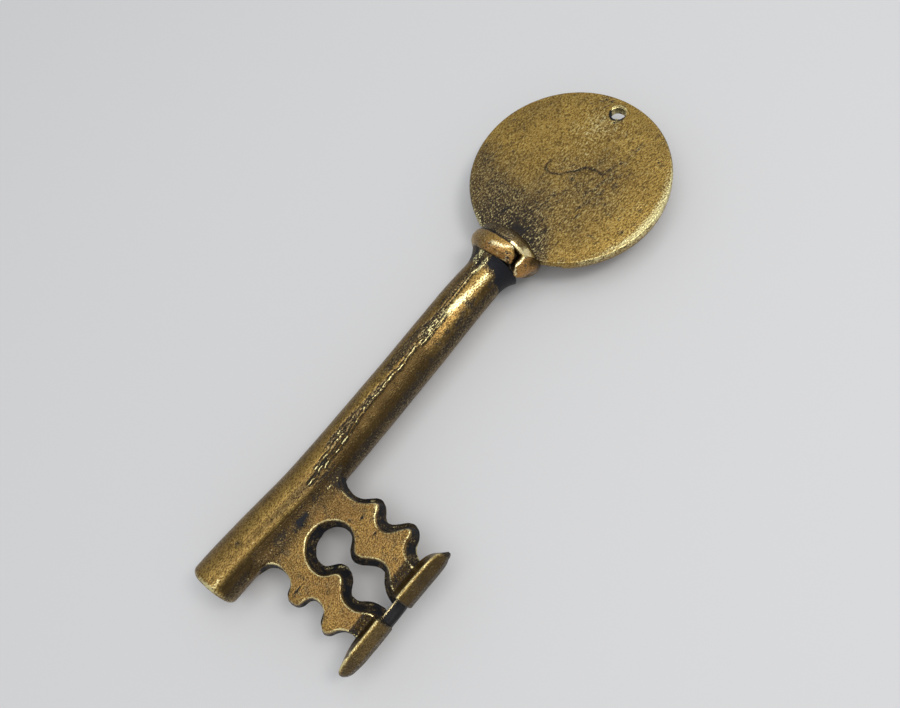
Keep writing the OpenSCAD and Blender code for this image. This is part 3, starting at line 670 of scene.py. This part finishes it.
def collar_rings():
    """The collar's skin: a section with a flat bore, a sloping front face, a crest and a broad back, carried
    round the shank's axis from the knob's end to the short end, which is cut off on the slant."""
    mm_a_degree = 0.14
    degrees, front, rear, top = curve_through(collar_stations * [mm_a_degree, 1, 1, 1], 430).T
    degrees = degrees / mm_a_degree
    wide = rear - front
    bore = collar_bore + knob_hollow * fade(140, 149, degrees)
    high = top - bore
    knob_part = fade(168, 190, degrees)
    section = soft_section([(front + (0.06 + 0.36 * knob_part) * wide, bore),
                            (front, top - (0.45 - 0.25 * knob_part) * high),
                            (front + 0.26 * wide, top - 0.1 * high), (front + 0.55 * wide, top + 0.1),
                            (rear - 0.04 * wide, top - 0.02 * high), (rear, top - 0.2 * high),
                            (rear - 0.03 * wide, bore)], 16, 10)
    along, out_r = section[..., 0], section[..., 1]
    share = (along - front[:, None]) / wide[:, None]
    degrees = degrees[:, None] + short_end_slant * ease(440, 478, degrees)[:, None] * (1 - share)
    return turned(along, out_r, np.radians(degrees)), degrees, share, out_r, out_r - top[:, None]


rings, degrees, share, out_r, sunk = collar_rings()
knob = fade(178, 200, degrees)
seen_run = ease(385, 415, degrees)
short_end = ease(440, 454, degrees)
relief = 0.06 * ripples(rings, 2.6, 311) + 0.025 * ripples(rings, 0.9, 321)
spots = most(*[bell(np.linalg.norm(rings - spot[:3], axis=2), 0, spot[3]) for spot in (
    (87, -7.2, 3.9, 0.3), (86.4, -8, 1.4, 0.24), (88.3, -6.7, 4.8, 0.26), (85.2, -7.3, 3.4, 0.18),
    (88.3, -4.2, 6.6, 0.26), (86.6, -7.9, 2.3, 0.16), (87.7, -7.8, 2.3, 0.2))])
pitted = fade(0.4, 0.52, share) * ease(4.8, 5.6, out_r) * ease(425, 446, degrees)
holes = ease(0.05, 0.5, ripples(rings, 0.42, 331)) * pitted
rings = raised(rings, relief - 0.2 * spots - 0.11 * holes)
# Painted highlight along the crest, on rubbed metal: strong on the short end, faint along the seen run.
crest_share = np.interp(degrees, [440, 453, 460, 466, 473, 479], [0.45, 0.46, 0.5, 0.57, 0.71, 0.88])
crest = (bell(share, crest_share, 0.16) * ease(-0.8, -0.1, sunk) * short_end
         + 0.3 * bell(share, 0.5, 0.25) * seen_run * (1 - short_end))
seam = ease(0.86, 0.97, share + 0.04 * ripples(rings, 0.9, 346))
soot_and_shade = most(0.9 * seam * (1 - knob), 0.9 * fade(5.4, 6.6, out_r), 0.85 * holes, 0.95 * spots, 0.05 * knob,
            0.45 * (1 - knob) * fade(350, 400, degrees), 0.25 * fade(428, 448, degrees) * seen_run,
            0.55 * knob * ease(168, 182, degrees))
soot_and_shade = soot_and_shade + 0.15 * ease(0, 0.5, ripples(rings, 1.4, 336)) * (1 - seam)
# Painted highlights on the crest and on the rims round the knob's face, with real rubbing on the pitted face.
rub_and_highlight = most(0.7 * crest * (0.85 + 0.45 * ripples(rings, 1.2, 341)),
           0.8 * bell(degrees, 141.5, 2.2) * ease(6.4, 7.2, out_r),
           0.4 * knob * bell(share, 0.1, 0.1) * ease(160, 172, degrees),
           0.6 * knob * bell(share, 0.1, 0.09) * fade(150, 160, degrees),
           0.12 * knob * fade(160, 172, degrees),
           0.45 * pitted * (1 - holes) * ease(0, 0.4, ripples(rings, 0.6, 351)))
copper = most(0.8 * pitted, 0.8 * knob, 0.3 * seen_run)
# Painted shade: the knob is browner on its rear part.
smoke_and_shade = knob * (0.2 + 0.7 * ease(0.5, 0.85, share) * ease(149, 158, degrees))
collar_metal = aged_brass("copper_brass_collar", (0.49, 0.315, 0.09), (0.35, 0.22, 0.062), (0.95, 0.82, 0.46),
                          stained=0.6, painted_glints=0.15)
skin("collar_ring", [(rings, (soot_and_shade, smoke_and_shade, rub_and_highlight, copper), False)], collar_metal)

# Saddle. A smooth dark bead round the spigot between the collar and the disc, slotted for the disc, with
# a tang that lies in the recess under it. Solder and soot fill the corner on either side. Beside the collar's
# short end its crest carries a painted highlight, and the rest of the bead is darker, as painted shade.
turn = np.linspace(0, 2 * math.pi, 240, endpoint=False)
bead_top = 7 + 0.45 * np.clip(np.sin(turn - math.radians(25)), 0, 1)
bead = [(87.9, 4.3), (88, bead_top - 0.5), (88.3, bead_top - 0.02), (89.2, bead_top),
        (90.1, bead_top - 0.15), (90.8, bead_top - 0.8), (91.2, bead_top - 2), (91.4, 4.3)]
section = soft_section(bead, 14, 8)
bead_x, bead_r = np.moveaxis(section, -1, 0)
bead_rings = turned(bead_x, bead_r, turn[:, None])
bead_rings = raised(bead_rings, 0.05 * ripples(bead_rings, 3, 401))
bead_degrees = np.degrees(turn)[:, None]
# Painted light: bare is the arc seen beside the collar's short end, whose crest gets a painted highlight
# while the rest of the bead is painted darker as shade.
bare = ease(108, 118, bead_degrees) * fade(170, 184, bead_degrees)
ragged_front = fade(88.5, 89, bead_x + 0.25 * ripples(bead_rings, 1, 426))
bead_soot_and_shade = most(0.45 - 0.3 * bare, 0.9 * ease(90.4, 91, bead_x), 0.8 * ragged_front * (1 - bare))
bead_soot_and_shade = bead_soot_and_shade + 0.25 * ease(0.1, 0.6, ripples(bead_rings * [0.4, 1, 1], 1.5, 411))
bead_painted_highlight = most(1.12 * bell(bead_x, 88.55, 0.42) * bare * (0.9 + 0.5 * ripples(bead_rings, 1.2, 421)),
                0.78 * bell(bead_x, 89.3, 1.1) * ease(126, 140, bead_degrees) * bare)

tang_x = np.linspace(89.5, 96.3, 90)
tang_y = np.interp(tang_x, [89.5, 92.2, 96.3], [6.4, 6.4, 4.9]) * (1 - 0.25 * ease(95.7, 96.3, tang_x))
tang_bottom, tang_top = -1.18, -0.1
tang_rings = carried(tang_x, soft_section([(-tang_y, tang_bottom), (-tang_y, tang_top), (tang_y, tang_top),
                                           (tang_y, tang_bottom)], 24, 3))
saddle_metal = aged_brass("dark_brass_saddle", (0.33, 0.235, 0.088), (0.22, 0.155, 0.062), (0.95, 0.80, 0.42),
                          stained=0.6, peel=0.7)
skin("neck_saddle", [(bead_rings, (bead_soot_and_shade, 0.35, bead_painted_highlight, 0.0), True),
                                   (tang_rings, (0.6, 0.35, 0, 0), False)], saddle_metal)

# Bow. A flat disc, cast and brushed, with a slightly rounded edge, a hanging hole drilled near the far edge
# and, on the hidden face at the neck, the recess that the saddle's tang lies in.
disc_low, disc_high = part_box("bow_disc")
pushed_home = 0.3
disc_r = (disc_high.y - disc_low.y) / MM / 2
disc_x = (disc_high.x - key_start[0]) / MM - disc_r - pushed_home
disc_half = (disc_high.z - disc_low.z) / MM / 2
hole_x = disc_x + disc_r - 3.45
hole_y = 0.4
hole_r = 1.5
hole_flare = 0.22
rim_r = 0.38
recess_angle = 33
recess_start = 13


def disc_rings(cols):
    """The disc's skin as a family of circles, from the hole's circle to the rim's: over the seen face, round
    the rim, back under the hidden face and up the wall of the hole. Each circle has a centre that slides
    from the hole's to the disc's, a radius that grows with it, and a height."""
    face = np.linspace(0, 1, 150) ** 0.97
    rim = np.linspace(0, math.pi, 14)[1:-1]
    back = np.linspace(1, 0, 30)
    wall = np.linspace(-1, 1, 12)[1:-1]
    runs = (face, rim, back, wall)
    share = joined(runs, face, 1, back, 0)
    rim_out = joined(runs, 0, rim_r * np.sin(rim) ** 0.6, 0, 0)
    hole_out = hole_flare * joined(runs, fade(0, 0.03, face), 0, fade(0, 0.03, back), np.abs(wall) ** 3)
    height = disc_half * joined(runs, 1, np.cos(rim), -1, wall)
    height[:len(face)] -= 0.35 * bell(face, 0, 0.01)
    radius = (1 - share) * (hole_r + hole_out) + share * (disc_r - rim_r) + rim_out
    centre_x = (1 - share) * hole_x + share * disc_x
    centre_y = (1 - share) * hole_y
    turn = np.linspace(0, 2 * math.pi, cols, endpoint=False)
    x = centre_x[:, None] + radius[:, None] * np.cos(turn)
    y = centre_y[:, None] + radius[:, None] * np.sin(turn)
    return np.stack([x, y, height[:, None] + 0 * x], axis=-1), share[:, None] + 0 * x


rings, share = disc_rings(484)
x, y, z = np.moveaxis(rings, -1, 0)
seen = z > 0.6 * disc_half
from_middle = np.hypot(x - disc_x, y)
from_hole = np.hypot(x - hole_x, y - hole_y)
round_hole = np.arctan2(y - hole_y, x - hole_x)
rim_turn = np.degrees(np.arctan2(y, x - disc_x))
neck_angle = np.degrees(np.arctan2(np.abs(y), disc_x - x))
recess = (ease(recess_start - 0.3, recess_start + 0.3, from_middle)
          * fade(recess_angle - 0.6, recess_angle + 0.6, neck_angle))
rings[..., 2] += recess * fade(-1, -0.2, z) * disc_half
ragged_x = x + 0.22 * ripples(rings, 1, 496)
ragged_y = y + 0.22 * ripples(rings, 1, 499)


def along_line(points, width):
    """A mark along a curve on the seen face: 1 on the curve and fading over the width on either side."""
    line_x, line_y = curve_through(np.array(points), 90).T
    gap = np.full(x.shape, 9.0)
    gap[seen] = np.hypot(ragged_x[seen][:, None] - line_x, ragged_y[seen][:, None] - line_y).min(axis=1)
    return bell(gap, 0, width) * seen


# A thin wandering crease in the middle of the face, scratches, small pits, and streaks of the brush.
crease = (0.85 + 0.5 * ripples(rings, 1.2, 501)) * along_line([
    (110.9, 5.4), (109.7, 5.5), (108.7, 5), (108.4, 4), (108.8, 2.4), (109.4, 1.3), (110.6, 0.4),
    (111.5, -0.7), (112.6, -1.4), (113.5, -2.4), (113.8, -3.6), (113.8, -6)], 0.27)
scratches = most(*[along_line(line, 0.15) for line in (
    [(100.4, -12), (100.6, -14), (100.4, -16.2)], [(104.1, -11.5), (104.3, -13.5), (104, -15.5)],
    [(106.6, -12.5), (106.8, -14.5), (106.6, -16)], [(115.5, -13.5), (115.7, -15), (115.5, -16.5)],
    [(100.9, 11.3), (100.7, 6), (101, 0.5)], [(112.5, 14), (116.5, 17)], [(116, 13.5), (118, 16.2)],
    [(113.8, -6), (118.3, -7.7), (124.5, -9.3)], [(112, -6.9), (116, -8), (121, -9)])])
scratches = scratches * ease(-0.2, 0.3, ripples(rings, 0.9, 506))
nicks = dabs(x, y, [(nick_x, nick_y, nick_r, nick_r) for nick_x, nick_y, nick_r in (
    (129, 5.2, 0.35), (129.7, 4.6, 0.35), (129.9, 3.3, 0.35), (127.2, 6.9, 0.35), (115.1, 18.8, 0.4),
    (110.9, -17.5, 0.5), (104.7, -17.3, 0.55), (108.3, 13.8, 0.35), (125.6, -0.4, 0.35), (129, -13.6, 0.3),
    (122.2, -14, 0.3), (109.5, -1.4, 0.4))]) * seen
brush_angle = math.radians(-11)
brush_u = x * math.cos(brush_angle) + y * math.sin(brush_angle)
brush_v = y * math.cos(brush_angle) - x * math.sin(brush_angle)
brushed = np.stack([brush_u * 0.3, brush_v, 0 * x], axis=-1)
streak_band = bell(y + 0.17 * (x - 107), -7.6, 3) * bell(x, 112, 11) * seen
streaks = ease(0.02, 0.5, ripples(brushed, 0.75, 511)) * streak_band
dished = 0.1 * ease(disc_r - 3.5, disc_r - 0.6, from_middle) * seen
chips = ripples(rings, 1.1, 531) * bell(from_hole, hole_r + 0.1, 0.5)
burr = bell(round_hole, -2.75, 0.28) * bell(from_hole, hole_r, 0.6)
relief = (0.06 * ripples(rings, 9, 516) + 0.018 * ripples(rings, 1.5, 521) - dished - 0.12 * crease
          - 0.12 * nicks - 0.05 * scratches - 0.03 * streaks + 0.13 * chips)
rings[..., 0] += 0.35 * burr
rings = raised(rings, relief)

# Soot lies thick behind the saddle, thins out over the neck side and shows in the streaks and hollows. The
# band round the rim is darkened as a painted dark reflection, and the hole's wall is painted as shade.
neck_line = np.interp(y, [-9.5, -8.6, -7.6, -6.2, -3.8, 0.2, 4.7, 12, 21],
                      [89, 91.5, 94.5, 96.5, 98, 100, 102, 103.5, 103.5])
ragged_line = x - neck_line + 1.8 * ripples(rings, 4, 543) + 1.2 * ripples(rings, 1.2, 546)
at_neck = fade(-10, 8, ragged_line) * seen
neck_soot = (0.66 + 0.09 * dabs(x, y, [(94.5, 3, 5, 7)]) - 0.16 * ease(9, 14, y)) * at_neck
haze = (0.36 * dabs(x, y, [(108, -4.5, 10, 7.5)]) * (1 - 0.6 * at_neck)
        + 0.22 * dabs(x, y, [(104.5, 17, 4, 3)]) + 0.2 * ease(0.22, 0.55, ripples(brushed, 0.55, 571))
        + 0.16 * ease(-0.2, 0.6, ripples(rings, 4, 556))) * seen
rim_band = (np.abs(z) < disc_half * 0.8) & (share > 0.99)
# Painted dark reflection on the rim's band, lighter on the low side and beside the neck there.
painted_dark_rim = rim_band * (1 - bell(neck_angle, 33, 9) * (y < 0)) * (1 - 0.8 * bell(rim_turn, -65, 60))
# Painted shade: the wall of the hole is painted black, except its side towards the rim, which is coppery and
# painted lit.
in_hole = (share < 0.001) | ((share < 0.012) & seen)
coppery_wall = in_hole * ease(-0.2, 0.4, np.cos(round_hole - 0.1))
hidden = (z < -0.6 * disc_half) * (0.25 + 0.2 * ripples(rings, 7, 551))
soot_and_shade = most(neck_soot, 0.88 * dabs(x, y, [(92.6, 0.5, 4.6, 7)]) * seen, in_hole * (1 - coppery_wall),
            hidden, 0.42 * painted_dark_rim, 0.8 * recess * (z < 0))
soot_and_shade = soot_and_shade + haze + 0.36 * streaks + 0.44 * crease + 0.5 * nicks + 0.5 * scratches
smoke_and_shade = 0.12 * at_neck + 0.9 * crease + 0.26 * ease(0, 0.6, ripples(brushed, 2.4, 576)) * seen
# Painted highlights: a bright line along the rim, faint all round and strong on the low side and beside the
# neck, a broad glow inside it on the low side, and a pool of painted light between the middle and the hole.
# The hole's edge and its burr are rubbed.
low_side = 0.14 + 0.86 * bell(rim_turn, -90, 48) + 0.5 * bell(neck_angle, 24, 12) * (y > 0)
rim_line = bell(from_middle, disc_r - 0.26, 0.38) * (z > -0.2) * low_side
hole_line = bell(from_hole, hole_r + hole_flare + 0.12, 0.16) * seen
rub_and_highlight = most(rim_line * (0.8 + 0.4 * ripples(rings, 6, 561)),
           0.75 * hole_line * ease(0, 0.5, chips + 0.3 * np.cos(round_hole)),
           0.62 * bell(from_middle, disc_r - 0.8, 1.2) * bell(rim_turn, -92, 42) * seen,
           0.33 * dabs(x, y, [(122, 2, 8, 7)]) * seen, 0.66 * coppery_wall, 0.85 * burr * in_hole)
copper = most(0.9 * coppery_wall, 0.8 * crease)
disc_metal = aged_brass("antique_brass_disc", (0.46, 0.296, 0.074), (0.34, 0.214, 0.056), (0.90, 0.80, 0.40),
                        grain_mm=0.25, painted_glints=0.5, stretch=(0.55, 1, 1), turn=-brush_angle)
skin("bow_disc", [(rings, (soot_and_shade, smoke_and_shade, rub_and_highlight, copper), True)], disc_metal)

# Floor. A plain pale sheet of matt paper, large enough to fill every view. The key lies on it, on its disc
# and its collar.
floor_half = 3.0
floor_corners = [(-floor_half, -floor_half, 0), (floor_half, -floor_half, 0), (floor_half, floor_half, 0),
                 (-floor_half, floor_half, 0)]
floor_mesh = bpy.data.meshes.new("floor")
floor_mesh.from_pydata(floor_corners, [], [(0, 1, 2, 3)])
floor = added("floor", floor_mesh)
paper = bpy.data.materials.new("pale_paper")
paper.use_nodes = True
feed(paper.node_tree, paper.node_tree.nodes["Principled BSDF"],
     {"Base Color": (0.75, 0.75, 0.755, 1), "Roughness": 0.8, "Specular IOR Level": 0.2})
floor_mesh.materials.append(paper)

# Light. Soft and even, as in a white tent: a wide panel overhead and a small one that draws the long gleam
# along the shank. The world is brighter to the eye and in the metal than it is as light on the key.
world = bpy.data.worlds.new("white_tent")
bpy.context.scene.world = world
world.use_nodes = True
tree = world.node_tree
rays = tree.nodes.new("ShaderNodeLightPath").outputs
shown = made(tree, "Math", {0: rays["Is Camera Ray"], 1: rays["Is Glossy Ray"]}, operation="MAXIMUM")
shown = made(tree, "Math", {0: shown, 1: rays["Is Transmission Ray"]}, operation="MAXIMUM")
strength = made(tree, "MapRange", {"Value": shown, "To Min": 0.45, "To Max": 0.62})
feed(tree, tree.nodes["Background"], {"Color": (0.93, 0.96, 1.0, 1), "Strength": strength})


def panel(name, place, size_x, size_y, watts, colour):
    """A rectangular lamp at a place in metres, turned to face the middle of the key."""
    data = bpy.data.lights.new(name, "AREA")
    data.shape = "RECTANGLE"
    data.size, data.size_y, data.energy, data.color = size_x, size_y, watts, colour
    lamp = added(name, data)
    lamp.location = place
    lamp.rotation_euler = (-lamp.location).to_track_quat("-Z", "Y").to_euler()


panel("overhead_panel", (0.0, -0.12, 0.80), 1.0, 0.7, 2.9, (1.0, 0.99, 0.97))
panel("gleam_panel", (0.12, -0.21, 0.44), 0.12, 0.12, 0.42, (1.0, 0.98, 0.95))

# Camera. A lens of about 34 mm on a 36 mm frame, held 175 mm from the key above the bit, looking down at it
# with the disc far away, as in the photo.
camera_data = bpy.data.cameras.new("camera")
camera_data.sensor_width = 36
camera_data.lens = 34.305
camera = added("camera", camera_data)
camera.location = key_start + np.array([35.4, -74.22, 155.1]) * MM
camera.rotation_euler = [math.radians(a) for a in (22.762, 12.298, -49.53)]
bpy.context.scene.camera = camera
bpy.context.scene.view_settings.view_transform = "Standard"
